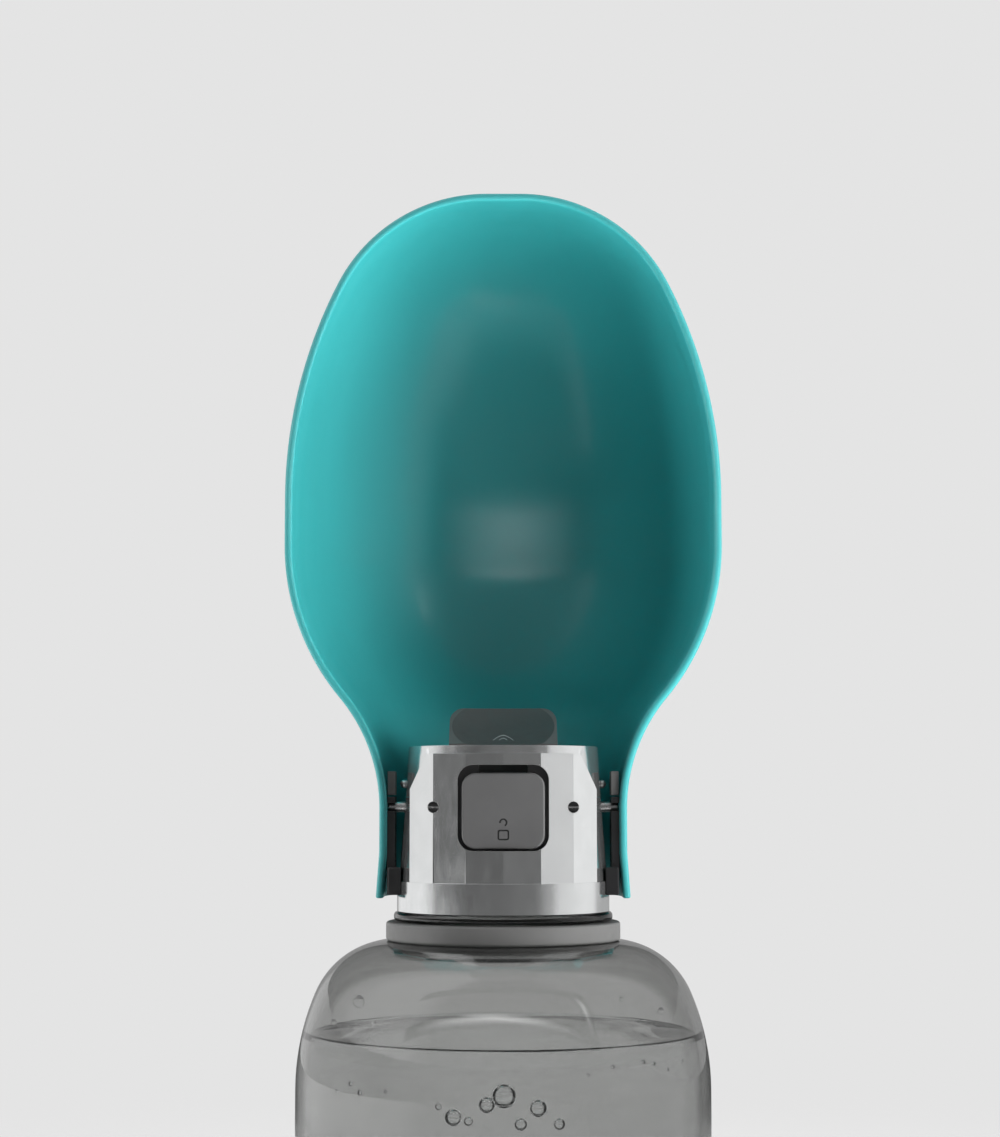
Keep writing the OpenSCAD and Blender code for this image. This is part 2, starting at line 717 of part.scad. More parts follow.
module hinge_plate() {
  low = hinge_z - arm_drop + 0.7;
  color([0.08, 0.08, 0.09]) difference() {
    union() {
      block([plate_x, -plate_front, low], [arm_in, plate_back, hinge_z]);
      block([plate_x, -plate_front, hinge_z - cut], [arm_in, plate_back, hinge_z + plate_top]);
    }
    rod_x(pin_r + run_gap, 0, hinge_z, plate_x - cut, arm_in + cut);
    block([plate_x - cut, -plate_front - cut, hinge_z - snap_gap / 2], [arm_in + cut, 0, hinge_z + snap_gap / 2]);
    // shallow pocket that takes the ball when the bowl is folded down
    rod_x(ball_r + pass_gap, 0, hinge_z - ball_rise, plate_x - cut, plate_x + 0.4);
    // screw hole with a flat-bottomed head recess
    rod_x(plate_screw_r * 2 + seat_gap, plate_screw_y, plate_screw_z, plate_x - cut, plate_x + 0.7);
    rod_x(plate_screw_r + seat_gap, plate_screw_y, plate_screw_z, plate_x, arm_in + cut);
  }
}
plate_screw_y = (plate_back - plate_front) / 2;
plate_screw_z = hinge_z - arm_drop * 0.6;

module plate_screw() {
  color([0.6, 0.6, 0.6]) difference() {
    union() {
      rod_x(plate_screw_r * 2, plate_screw_y, plate_screw_z, plate_x + 0.1, plate_x + 0.7 - seat_gap);
      rod_x(plate_screw_r, plate_screw_y, plate_screw_z, plate_x + 0.3, arm_in + bowl_wall * 0.7);
    }
    block([plate_x - cut, plate_screw_y - plate_screw_r * 2, plate_screw_z - 0.2],
      [plate_x + 0.35, plate_screw_y + plate_screw_r * 2, plate_screw_z + 0.2]);
  }
}

module detent_lug() {
  low = hinge_z + plate_top + pass_gap;
  color([0.45, 0.46, 0.47]) difference() {
    block([plate_x, -plate_front + 0.4, low], [arm_in, plate_back, low + lug_h]);
    translate([ball_x, 0, hinge_z + ball_rise]) sphere(r = ball_r + seat_gap * 3, $fn = small);
  }
}

// ---- bowl ----

// The bowl's outline at a depth below its outer face, in radius and height above the hinge
module bowl_outline(w) {
  low = w > 0 ? -arm_drop - cut : -arm_drop;
  flare_top = -arm_drop / 2;
  join = level(flare_z + (flare_curve + w) * sin(flare_turn));
  side_join = level(dome_z + (side_curve - w) * sin(side_turn));
  polygon([[0, low], [arm_r + arm_flare - w, low], [arm_r - w, flare_top], [arm_r - w, flare_z], [0, flare_z]]);
  waist(flare_z, join, arm_r + flare_curve, flare_z, flare_curve + w);
  bulge(join, belly_z, bowl_r - belly_curve, belly_z, belly_curve - w);
  translate([0, belly_z]) square([bowl_r - w, belly_h]);
  bulge(dome_z, side_join, bowl_r - side_curve, dome_z, side_curve - w);
  bulge(side_join, bowl_tip - w, tip_flat, bowl_tip - tip_curve, tip_curve - w);
}

// The half-round form behind the hinge with its straight front, at a depth below its outer face
module bowl_form(w, front) {
  translate([0, bowl_shift, hinge_z]) {
    rotate_extrude(angle = 180, $fn = fine) bowl_outline(w);
    rotate([90, 0, 0]) linear_extrude(bowl_shift + front) {
      bowl_outline(w);
      mirror([1, 0]) bowl_outline(w);
    }
  }
}

module bowl() {
  color([0.18, 0.6, 0.61]) difference() {
    bowl_form(0, rim_front);
    bowl_form(bowl_wall, rim_front + cut);
    for (side = [0, 1]) mirror([side, 0, 0])
      rod_x(plate_screw_r + seat_gap, plate_screw_y, plate_screw_z, arm_in - cut, arm_in + bowl_wall * 0.75);
  }
}

bottle();
bottle_neck();
neck_ring();
neck_gasket();
cap_shell();
cap_insert();
top_plate();
outlet_spout();
press_tab();
valve_stem();
valve_seal();
seal_clip();
valve_spring();
lock_slider();
lock_keeper();
mirror([1, 0, 0]) hinge_pin();  // hinge_pin_left
hinge_pin();  // hinge_pin_right
mirror([1, 0, 0]) set_screw();  // set_screw_left
set_screw();  // set_screw_right
mirror([1, 0, 0]) detent_ball();  // detent_ball_left
detent_ball();  // detent_ball_right
mirror([1, 0, 0]) hinge_stop();  // hinge_stop_left
hinge_stop();  // hinge_stop_right
bowl();
mirror([1, 0, 0]) hinge_plate();  // hinge_plate_left
hinge_plate();  // hinge_plate_right
mirror([1, 0, 0]) detent_lug();  // detent_lug_left
detent_lug();  // detent_lug_right
mirror([1, 0, 0]) plate_screw();  // plate_screw_left
plate_screw();  // plate_screw_right
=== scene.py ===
"""The looks of the dog travel water bottle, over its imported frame.

Metres, +Z up. The origin is the centre of the bottle's base, and the cap's front faces -Y.
The bowl and the bottle are built here from the same curves as the solids, with rounded edges.
The cap's hard pieces take their shape from their solids, with their edges eased.
Meshes are drawn in millimetres, and lamps, cards and the camera are placed in metres.
"""

import math

import bmesh
import bpy
from mathutils import Matrix, Vector


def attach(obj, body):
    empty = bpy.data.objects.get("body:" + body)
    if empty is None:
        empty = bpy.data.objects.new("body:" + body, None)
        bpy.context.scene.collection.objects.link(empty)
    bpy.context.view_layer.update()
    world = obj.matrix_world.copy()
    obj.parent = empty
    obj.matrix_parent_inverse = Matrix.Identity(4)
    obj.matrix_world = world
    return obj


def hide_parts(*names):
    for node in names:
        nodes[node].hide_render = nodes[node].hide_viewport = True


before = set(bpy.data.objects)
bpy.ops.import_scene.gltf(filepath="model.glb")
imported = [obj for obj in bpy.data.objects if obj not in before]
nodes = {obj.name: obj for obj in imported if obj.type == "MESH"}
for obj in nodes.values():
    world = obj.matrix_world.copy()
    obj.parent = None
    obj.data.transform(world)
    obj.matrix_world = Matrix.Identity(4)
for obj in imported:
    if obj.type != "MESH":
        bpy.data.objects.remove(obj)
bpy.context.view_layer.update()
MM = 0.001


# ---- sizes that more than one piece uses, in millimetres ----

HINGE_Z = 104.4
BOTTLE_R = 38.8
SHOULDER_Z = 79.5
# the bottle's side curves in above UPPER_Z, on an arc of radius UPPER_R
UPPER_Z, UPPER_R = 52.3, 45.0
# how deep the water's side lies below the bottle's outer face
WATER_DEPTH = 1.75
# the tab's sloping face: its middle, its lean and its thumb dish
FACE, LEAN, DISH_R, DISH_DEEP = Vector((0, -4.1, 119.6)), math.radians(32.5), 34.0, 1.4
UP_FACE = Vector((0, math.cos(LEAN), math.sin(LEAN)))
OUT_OF_FACE = Vector((0, -math.sin(LEAN), math.cos(LEAN)))


# ---- outlines ----

def arc(cx, cz, r, a0, a1, steps):
    """Points of an arc from angle a0 to a1 in degrees."""
    turns = [math.radians(a0 + (a1 - a0) * k / steps) for k in range(steps + 1)]
    return [(cx + r * math.cos(a), cz + r * math.sin(a)) for a in turns]


def line(a, b, steps):
    """Points of a straight line from a to b."""
    return [(a[0] + (b[0] - a[0]) * k / steps, a[1] + (b[1] - a[1]) * k / steps) for k in range(steps + 1)]


def joined(*runs):
    """Runs of points end to end, without the doubled points between them."""
    points = []
    for run in runs:
        for p in run:
            if not points or math.dist(points[-1], p) > 1e-4:
                points.append(p)
    return points


def quarter(steps):
    """Angles from 0 to a quarter turn, in radians."""
    return [math.radians(90 * k / steps) for k in range(steps + 1)]


def filleted(corners, steps=5):
    """An outline of (x, z, radius) corners with each corner rounded. A radius of 0 stays sharp."""
    points = []
    for i, (x, z, r) in enumerate(corners):
        here = Vector((x, z))
        if r == 0 or i in (0, len(corners) - 1):
            points.append((x, z))
            continue
        back = (Vector(corners[i - 1][:2]) - here).normalized()
        on = (Vector(corners[i + 1][:2]) - here).normalized()
        half = back.angle(on) / 2
        reach = r / math.tan(half)
        centre = here + (back + on).normalized() * (r / math.sin(half))
        first, last = here + back * reach - centre, here + on * reach - centre
        for k in range(steps + 1):
            # slerp gives a vector of length 1
            points.append(tuple(centre + r * first.slerp(last, k / steps)))
    return points


# ---- meshes ----

def new_object(name, bm, material, sharp=None):
    """A mesh object from a bmesh in millimetres. Edges that turn by more than sharp degrees stay sharp."""
    bmesh.ops.recalc_face_normals(bm, faces=bm.faces)
    bm.transform(Matrix.Scale(MM, 4))
    for face in bm.faces:
        face.smooth = True
    if sharp is not None:
        for edge in bm.edges:
            edge.smooth = len(edge.link_faces) == 2 and edge.calc_face_angle(0) < math.radians(sharp)
    mesh = bpy.data.meshes.new(name)
    bm.to_mesh(mesh)
    bm.free()
    mesh.materials.append(material)
    obj = bpy.data.objects.new(name, mesh)
    bpy.context.scene.collection.objects.link(obj)
    return obj


def add_grid(bm, rows, close_u=False):
    """Quads between rows of points. close_u joins each row's last point to its first."""
    made = [[bm.verts.new(p) for p in row] for row in rows]
    n = len(rows[0])
    for a, b in zip(made, made[1:]):
        for k in range(n if close_u else n - 1):
            bm.faces.new((a[k], a[(k + 1) % n], b[(k + 1) % n], b[k]))
    return made


def add_bar(bm, sections):
    """A closed bar through its cross sections, with its ends filled."""
    made = add_grid(bm, sections, close_u=True)
    bm.faces.new(made[0])
    bm.faces.new(made[-1][::-1])


def add_lathe(bm, outline, steps=160):
    """A surface turned about +Z from (radius, height) points."""
    turns = [2 * math.pi * k / steps for k in range(steps)]
    add_grid(bm, [[(r * math.cos(a), r * math.sin(a), z) for a in turns] for r, z in outline], close_u=True)
    bmesh.ops.remove_doubles(bm, verts=bm.verts, dist=1e-4)


def modifier(obj, kind, **settings):
    made = obj.modifiers.new(kind.title(), kind)
    for key, value in settings.items():
        setattr(made, key, value)


def ease(obj, width, segments=2, angle=25, kind="ANGLE"):
    """Rounds the edges that turn by more than angle degrees, or by their own weights."""
    modifier(obj, "BEVEL", width=width * MM, segments=segments, limit_method=kind,
             angle_limit=math.radians(angle), harden_normals=True, use_clamp_overlap=True,
             miter_outer="MITER_ARC")


def dressed(name, node, body, material, width, sharp=12, angle=25, segments=2, rule=None, paint=None):
    """A piece with its solid's shape and eased edges, in place of the solid.

    rule(middle of an edge) gives that edge's own rounding as a share of width. paint is a second
    material and a test of a face's middle and normal."""
    same_point, same_plane = 2e-6, math.radians(0.4)
    bm = bmesh.new()
    bm.from_mesh(nodes[node].data)
    bmesh.ops.remove_doubles(bm, verts=bm.verts, dist=same_point)
    bmesh.ops.dissolve_limit(bm, angle_limit=same_plane, verts=bm.verts, edges=bm.edges)
    bm.transform(Matrix.Scale(1 / MM, 4))
    if rule:
        weight = bm.edges.layers.float.new("bevel_weight_edge")
        for edge in bm.edges:
            if len(edge.link_faces) == 2 and edge.calc_face_angle(0) > math.radians(angle):
                edge[weight] = rule((edge.verts[0].co + edge.verts[1].co) / 2)
    if paint:
        for face in bm.faces:
            face.material_index = int(paint[1](face.calc_center_median(), face.normal))
    obj = new_object(name, bm, material, sharp=sharp)
    if paint:
        obj.data.materials.append(paint[0])
    if width:
        ease(obj, width, segments=segments, angle=angle, kind="WEIGHT" if rule else "ANGLE")
    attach(obj, body)
    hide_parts(node)
    return obj


# ---- materials ----

class Nodes:
    """The node tree of a material or world, and short calls for adding and joining its nodes."""

    def __init__(self, block, empty=True):
        block.use_nodes = True
        self.tree = block.node_tree
        if empty:
            self.tree.nodes.clear()

    def link(self, a, b):
        self.tree.links.new(a, b)

    def node(self, kind, **values):
        """A new node. values are its settings, or its inputs with _ for each space."""
        made = self.tree.nodes.new("ShaderNode" + kind)
        for key, value in values.items():
            if hasattr(made, key):
                setattr(made, key, value)
            else:
                made.inputs[key.replace("_", " ")].default_value = value
        return made


class Shader(Nodes):
    """A material with a Principled shader, and short calls for what varies over its surface."""

    def __init__(self, name, color, roughness, **sockets):
        self.material = bpy.data.materials.new(name)
        super().__init__(self.material, empty=False)
        self.shader = self.tree.nodes["Principled BSDF"]
        self.output = self.tree.nodes["Material Output"]
        self.set("Base Color", (*color, 1))
        self.set("Roughness", roughness)
        for key, value in sockets.items():
            self.set(key.replace("_", " "), value)
        self.color, self.roughness = color, roughness

    def set(self, socket, value):
        self.shader.inputs[socket].default_value = value

    def place(self, stretch=(1, 1, 1)):
        """The object's own coordinates in millimetres, stretched along each axis."""
        coords = self.node("TexCoord")
        mapping = self.node("Mapping", Scale=tuple(s / MM for s in stretch))
        self.link(coords.outputs["Object"], mapping.inputs["Vector"])
        return mapping.outputs["Vector"]

    def noise(self, scale, detail=2.0, stretch=(1, 1, 1)):
        """Noise with the given number of waves per millimetre."""
        made = self.node("TexNoise", Scale=scale, Detail=detail)
        self.link(self.place(stretch), made.inputs["Vector"])
        return made.outputs["Fac"]

    def spread(self, noise, low, high):
        """Noise, which stays near 0.3..0.7, mapped to low..high."""
        made = self.node("MapRange", From_Min=0.3, From_Max=0.7, To_Min=low, To_Max=high)
        self.link(noise, made.inputs["Value"])
        return made.outputs["Result"]

    def vary_roughness(self, noise, by):
        low, high = self.roughness - by, self.roughness + by
        self.link(self.spread(noise, low, high), self.shader.inputs["Roughness"])

    def vary_color(self, noise, by):
        """Lightens and darkens the base colour by a share."""
        made = self.node("Mix", data_type="RGBA")
        mix_a, mix_b = (s for s in made.inputs if s.type == "RGBA")
        mix_a.default_value = (*(c * (1 - by) for c in self.color), 1)
        mix_b.default_value = (*(min(1, c * (1 + by)) for c in self.color), 1)
        self.link(self.spread(noise, 0, 1), made.inputs["Factor"])
        self.link(next(s for s in made.outputs if s.type == "RGBA"), self.shader.inputs["Base Color"])

    def bump(self, *layers):
        """layers are (noise, height in millimetres), laid over each other."""
        last = None
        for noise, height in layers:
            made = self.node("Bump", Strength=1.0, Distance=height * MM)
            self.link(noise, made.inputs["Height"])
            if last:
                self.link(last.outputs["Normal"], made.inputs["Normal"])
            last = made
        self.link(last.outputs["Normal"], self.shader.inputs["Normal"])

    def let_lamps_through(self, color):
        """Makes shadow rays pass, tinted by color, so that the piece throws a light shadow."""
        path = self.node("LightPath")
        through = self.node("BsdfTransparent", Color=(*color, 1))
        mix = self.node("MixShader")
        self.link(path.outputs["Is Shadow Ray"], mix.inputs[0])
        self.link(self.shader.outputs["BSDF"], mix.inputs[1])
        self.link(through.outputs["BSDF"], mix.inputs[2])
        self.link(mix.outputs["Shader"], self.output.inputs["Surface"])


def moulded(name, color, roughness, depth=0.006, **sockets):
    """Moulded plastic: a fine grain of the given depth, and slow changes of tone and gloss."""
    s = Shader(name, color, roughness, **sockets)
    s.vary_color(s.noise(0.12, 3), 0.06)
    s.vary_roughness(s.noise(0.5, 3), 0.05)
    s.bump((s.noise(9.0, 2), depth), (s.noise(0.25, 2), depth * 2))
    return s.material


def teal_plastic():
    """Satin teal plastic with faint flow marks up the bowl and fine scuffs."""
    s = Shader("bowl_satin_teal", (0.045, 0.4, 0.412), 0.5, IOR=1.45, Coat_Weight=0.5, Coat_Roughness=0.17)
    s.vary_color(s.noise(0.03, 3, stretch=(1, 1, 0.35)), 0.05)
    s.vary_roughness(s.noise(0.16, 4, stretch=(1, 1, 0.12)), 0.05)
    s.bump((s.noise(7, 2), 0.004), (s.noise(0.12, 2, stretch=(1, 1, 0.2)), 0.02))
    return s.material


def plating():
    """Satin silver plating over plastic: a soft metal with a slight orange peel."""
    s = Shader("cap_satin_plating", (0.7, 0.71, 0.712), 0.14, Metallic=0.93)
    s.vary_color(s.noise(0.2, 3), 0.03)
    s.vary_roughness(s.noise(0.7, 4, stretch=(1, 1, 0.3)), 0.03)
    s.bump((s.noise(14, 2), 0.0008), (s.noise(0.5, 2), 0.001))
    return s.material


def steel(name, color, roughness):
    """Turned steel, with fine marks across the X axis."""
    s = Shader(name, color, roughness, Metallic=1.0)
    s.vary_roughness(s.noise(3, 3, stretch=(0.2, 1, 1)), 0.06)
    s.vary_color(s.noise(1.5, 2), 0.08)
    s.bump((s.noise(10, 2, stretch=(0.15, 1, 1)), 0.002))
    return s.material


def smoky_clear():
    """Smoky clear plastic. It lets the lamps through, so that it throws a light shadow."""
    s = Shader("bottle_smoky_clear", (0.95, 0.95, 0.945), 0.03, IOR=1.46, Transmission_Weight=1.0,
               Specular_IOR_Level=0.5)
    s.vary_roughness(s.noise(0.15, 3), 0.015)
    s.bump((s.noise(0.09, 2), 0.03))
    smoke = s.node("VolumeAbsorption", Color=(0.6, 0.605, 0.6, 1), Density=700.0)
    s.link(smoke.outputs["Volume"], s.output.inputs["Volume"])
    s.let_lamps_through((0.75, 0.76, 0.75))
    return s.material


def clear_water():
    """Clean water, with a faint wave in its surface."""
    s = Shader("water_clear", (0.985, 0.99, 0.99), 0.0, IOR=1.333, Transmission_Weight=1.0)
    s.bump((s.noise(0.15, 2), 0.04))
    s.let_lamps_through((0.97, 0.97, 0.97))
    return s.material


TEAL = teal_plastic()
PLATING = plating()
CLEAR = smoky_clear()
WATER = clear_water()
MARK = moulded("mark_dark", (0.035, 0.035, 0.036), 0.55)
# painted shade: a dark grey for the walls and floor of the slider's recess in the plated cap
RECESS_SHADE = moulded("recess_painted_shade", (0.055, 0.055, 0.056), 0.5)
TRIM = moulded("ring_matt_grey", (0.15, 0.15, 0.148), 0.55, depth=0.008)
# the dark grey of the top plate and spout, also used as painted shade in the tab's thumb dish
DARK_GREY_AND_DISH_SHADE = moulded("dark_grey_and_dish_shade", (0.07, 0.068, 0.067), 0.42)
EDGE = moulded("tab_edge_grey", (0.12, 0.118, 0.117), 0.42)
GREY = moulded("slider_mid_grey", (0.12, 0.12, 0.121), 0.42)
BLACK = moulded("hinge_black", (0.014, 0.014, 0.015), 0.42)
LIGHT = moulded("insert_light_grey", (0.42, 0.43, 0.44), 0.5)
WHITE = moulded("stem_white", (0.72, 0.73, 0.73), 0.4)
SILICONE = moulded("silicone_milky", (0.74, 0.75, 0.73), 0.5, Subsurface_Weight=0.15, Subsurface_Scale=0.002)
STEEL = steel("pin_steel", (0.6, 0.6, 0.6), 0.3)
SCREW = steel("screw_dark_steel", (0.09, 0.09, 0.092), 0.3)
# painted highlight: a bright steel for the floors of the set screws' slots
SLOT_HIGHLIGHT = steel("screw_slot_painted_highlight", (0.75, 0.75, 0.75), 0.25)


# ---- bottle ----

def bottle_side(w):
    """The bottle's curved side, from its base to the flat of its shoulder, at a depth w below its outer face.

    It gives radius and height."""
    low_z, low_r, foot_r, round_r = 46.0, 75.0, 9.0, 15.7
    foot_x = BOTTLE_R - low_r + math.sqrt((low_r - foot_r) ** 2 - (low_z - foot_r) ** 2)
    foot_a = math.degrees(math.acos((low_z - foot_r) / (low_r - foot_r)))
    round_z = SHOULDER_Z - round_r
    round_x = BOTTLE_R - UPPER_R + math.sqrt((UPPER_R - round_r) ** 2 - (round_z - UPPER_Z) ** 2)
    round_a = math.degrees(math.asin((round_z - UPPER_Z) / (UPPER_R - round_r)))
    return joined(
        arc(foot_x, foot_r, foot_r - w, -90, foot_a - 90, 10),
        arc(BOTTLE_R - low_r, low_z, low_r - w, foot_a - 90, 0, 22),
        [(BOTTLE_R - w, low_z), (BOTTLE_R - w, UPPER_Z)],
        arc(BOTTLE_R - UPPER_R, UPPER_Z, UPPER_R - w, 0, round_a, 10),
        arc(round_x, round_z, round_r - w, round_a, 90, 20),
    )


def add_thread(bm):
    """The neck's thread: one and a fifth turns, running in and out at its ends."""
    root_r, ridge, flank, start_z, pitch, per_turn, steps = 16.2, 1.1, 0.12, 86.2, 3.2, 24, 29
    foot, shoulder, crest = 0.65, 0.34, 0.2
    sections = []
    for k in range(steps + 1):
        a, z = 2 * math.pi * k / per_turn, start_z + pitch * k / per_turn
        out = root_r + ridge * min(1, (min(k, steps - k) + 1.5) / 4)
        ring = [(root_r, -foot), (out - flank, -shoulder), (out, -crest),
                (out, crest), (out - flank, shoulder), (root_r, foot)]
        sections.append([(r * math.cos(a), r * math.sin(a), z + dz) for r, dz in ring])
    add_bar(bm, sections)


def make_bottle():
    """The bottle with its inside, its neck bead and its screw thread."""
    wall, rise, foot_x = 1.6, 1.6, 18.45
    shoulder_r, collar_r, bead_r, neck_r, bore_r = 20.7, 18.0, 20.6, 16.5, 14.6
    bead_low, bead_top, rim_z, bore_low = 83.1, 84.9, 93.0, 78.0
    dome = (foot_x ** 2 + rise ** 2) / (2 * rise)
    floor_xs = [foot_x * k / 8 for k in range(9)]
    floor = [(x, wall + rise - dome + math.sqrt(dome ** 2 - x * x)) for x in floor_xs]
    neck = filleted([
        (shoulder_r, SHOULDER_Z, 0), (collar_r, SHOULDER_Z, 0.5), (collar_r, bead_low, 0.3),
        (bead_r, bead_low, 0.75), (bead_r, bead_top, 0.75), (neck_r, bead_top, 0.4),
        (neck_r, rim_z, 0.5), (bore_r, rim_z, 0.5), (bore_r, bore_low, 0.6),
    ])
    outside = joined([(foot_x * k / 4, 0) for k in range(4)], bottle_side(0), neck)
    inside = joined(floor, bottle_side(wall))
    bm = bmesh.new()
    add_lathe(bm, joined(outside, inside[::-1]))
    add_thread(bm)
    obj = new_object("bottle_clear", bm, CLEAR, sharp=40)
    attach(obj, "bottle")
    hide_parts("bottle", "bottle_neck")


def make_water():
    """Water with a slight meniscus and ripples."""
    level, wall_r, meniscus, ripple = 62.3, 36.2, 1.2, 0.28
    side = [p for p in bottle_side(WATER_DEPTH) if p[1] < level - meniscus]
    floor = [(x, side[0][1] + 0.05) for x in (0, 6, 12)]
    surface = [(wall_r - 0.02, level + 0.55), (wall_r - 0.4, level + 0.2), (wall_r - 1.2, level + 0.04)]
    surface += [((wall_r - 2.5) * (1 - k / 12), level) for k in range(13)]
    bm = bmesh.new()
    add_lathe(bm, joined(floor, side, surface))
    for v in bm.verts:
        if v.co.z > level - 0.1:
            r = math.hypot(v.co.x, v.co.y) / wall_r
            wave = math.sin(0.19 * v.co.x + 0.12 * v.co.y + 0.8)
            wave += 0.6 * math.sin(0.33 * v.co.y - 0.21 * v.co.x)
            v.co.z += ripple * wave * (1 - r ** 6)
    obj = new_object("water_fill", bm, WATER, sharp=50)
    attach(obj, "bottle")


def water_front(x, z):
    """The y of the water's front, at x and z."""
    r = BOTTLE_R - UPPER_R + math.sqrt((UPPER_R - WATER_DEPTH) ** 2 - max(0, z - UPPER_Z) ** 2)
    return -math.sqrt(r * r - x * x)


def make_bubbles():
    """Air bubbles near the water's front. They face inwards, because the air is inside them."""
    # x, z and radius of each
    bubbles = (
        (0.1, 55.0, 2.1), (5.8, 53.0, 1.5), (-2.8, 53.6, 1.4), (-8.4, 51.4, 1.5), (2.9, 50.4, 1.1),
        (-11.0, 53.2, 0.6), (-5.9, 50.9, 0.8), (9.4, 50.3, 1.0), (18.6, 59.4, 0.4), (24.0, 59.8, 0.45),
        (25.9, 59.3, 0.4), (14.4, 58.3, 0.35), (28.4, 58.0, 0.35), (31.2, 59.0, 0.35),
        (-26.3, 55.9, 0.45), (-28.8, 54.3, 0.35), (-24.6, 54.6, 0.5), (-20.1, 55.2, 0.35),
        (12.1, 47.2, 0.8), (-15.4, 46.0, 0.7), (-1.5, 44.8, 1.2), (6.0, 41.3, 0.7), (-9.0, 39.5, 0.9),
        (17.5, 44.2, 0.5),
    )
    behind_front, fine_from = 0.35, 0.6
    bm = bmesh.new()
    for x, z, r in bubbles:
        place = Matrix.Translation((x, water_front(x, z) + r + behind_front, z))
        bmesh.ops.create_icosphere(bm, subdivisions=3 if r > fine_from else 2, radius=r, matrix=place)
    obj = new_object("water_bubbles", bm, WATER)
    obj.data.flip_normals()
    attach(obj, "bottle")


def make_drops():
    """A few flat drops on the wall above the water."""
    # x, z and radius of each
    drops = (
        (-25.3, 69.6, 1.0), (-22.4, 66.3, 0.45), (27.6, 67.8, 0.6), (20.5, 70.4, 0.4), (-29.8, 65.7, 0.5),
    )
    flat, tall, off_wall = 0.45, 1.1, 0.15
    bm = bmesh.new()
    for x, z, r in drops:
        place = Matrix.Translation((x, water_front(x, z) + off_wall + flat * r, z))
        place = place @ Matrix.Diagonal((1, flat, tall, 1))
        bmesh.ops.create_icosphere(bm, subdivisions=3, radius=r, matrix=place)
    obj = new_object("wall_drops", bm, WATER)
    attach(obj, "bottle")


# ---- bowl ----

def bowl_side(w=0.0):
    """The bowl's outline from an arm's lower end to the tip, at a depth w below the outer face.

    It gives radius and height above the hinge."""
    arm_r, arm_low, arm_splay, splay_z = 23.3, -17, 0.6, -8.5
    bowl_r, flare_r, flare_z, turn = 41.6, 32.7, -0.466, 40.0
    belly_z, belly_h, tip_z, side_turn, tip_flat = 49.8, 8.9, 117.8, 26.7, 3.3
    belly_r = (bowl_r - arm_r) / (1 - math.cos(math.radians(turn))) - flare_r
    dome_z = belly_z + belly_h
    c, s = math.cos(math.radians(side_turn)), math.sin(math.radians(side_turn))
    wide, high = bowl_r - tip_flat, tip_z - dome_z
    det = (1 - c) * (1 - s) - c * s
    side_r, tip_r = (wide * (1 - s) - high * c) / det, (high * (1 - c) - wide * s) / det
    return (
        line((arm_r + arm_splay - w, arm_low), (arm_r - w, splay_z), 4)
        + line((arm_r - w, splay_z), (arm_r - w, flare_z), 4)[1:]
        + arc(arm_r + flare_r, flare_z, flare_r + w, 180, 180 - turn, 16)[1:]
        + arc(bowl_r - belly_r, belly_z, belly_r - w, -turn, 0, 20)[1:]
        + [(bowl_r - w, belly_z + belly_h * k / 4) for k in range(1, 5)]
        + arc(bowl_r - side_r, dome_z, side_r - w, 0, side_turn, 22)[1:]
        + arc(tip_flat, tip_z - tip_r, tip_r - w, side_turn, 90, 28)[1:]
        + [(tip_flat * 0.5, tip_z - w), (0, tip_z - w)]
    )


def make_bowl():
    """A shell of even wall: a straight band behind the rim, then a half turn of the same outline."""
    wall, back_y, rim_y, around = 1.5, 3.0, -4.0, 84
    outer_round, inner_round = 0.85, 0.5
    band = (back_y, 1.2, -0.6, -2.2)
    # across the rim, as (depth below the outer face, y)
    across = [(0, y) for y in band]
    across += [(outer_round * (1 - math.cos(a)), rim_y + outer_round * (1 - math.sin(a))) for a in quarter(7)]
    across += [(wall - inner_round * (1 - math.sin(a)), rim_y + inner_round * (1 - math.cos(a)))
               for a in quarter(5)]
    across += [(wall, y) for y in band[::-1]]
    rows = []
    for w, y in across:
        side = bowl_side(w)
        rows.append([(x, y, HINGE_Z + z) for x, z in side] + [(-x, y, HINGE_Z + z) for x, z in side[-2::-1]])
    bm = bmesh.new()
    add_grid(bm, rows)
    turns = [math.pi * k / around for k in range(around + 1)]
    for w in (0, wall):
        add_grid(bm, [[(x * math.cos(a), back_y + x * math.sin(a), HINGE_Z + z) for a in turns]
                      for x, z in bowl_side(w)])
    bmesh.ops.remove_doubles(bm, verts=bm.verts, dist=1e-4)
    # the end faces of the arms
    bmesh.ops.edgeloop_fill(bm, edges=[e for e in bm.edges if e.is_boundary])
    obj = new_object("bowl_shell", bm, TEAL, sharp=40)
    ease(obj, 0.35, segments=3, angle=50)
    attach(obj, "bowl")
    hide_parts("bowl")


# ---- cap and hinge, with their solids' shapes ----

def in_shaded_recess(middle, normal):
    """The recess behind the slider: its walls and floor, which are painted dark grey as painted shade."""
    half_wide, low, top, mouth_y, deepest_y, floor_y = 8.45, 96.3, 112.3, -19.9, -12, -17.2
    x, y, z = middle
    inside = abs(x) < half_wide and low < z < top and mouth_y < y < deepest_y
    return inside and (normal.y > -0.5 or y > floor_y)


def over_mark(x, z):
    """The part of the slider's face that its mark is cut in."""
    return abs(x) < 1.4 and 97.6 < z < 104


def slider_edge(middle):
    """Wide rounding on the slider's face, none on its mark."""
    x, y, z = middle
    if over_mark(x, z) and y < -18:
        return 0
    return 1.0 if y < -18.5 else 0.25


def in_mark(middle, normal):
    """The floor of the mark, just behind the slider's face."""
    x, y, z = middle
    return over_mark(x, z) and -18.69 < y < -18.4


def in_highlit_screw_slot(middle, normal):
    """The floor of a set screw's slot, which lies level with the hinge. It takes bright steel as a painted
    highlight on the dark screw.
    """
    return abs(middle[2] - HINGE_Z) < 0.2 and normal.y < -0.3


def on_dish(u, v, above):
    """A point of the thumb dish, u to the right and v up its slope."""
    deep = DISH_DEEP - (u * u + v * v) / (2 * DISH_R) - above
    return FACE + Vector((u, 0, 0)) + v * UP_FACE - deep * OUT_OF_FACE


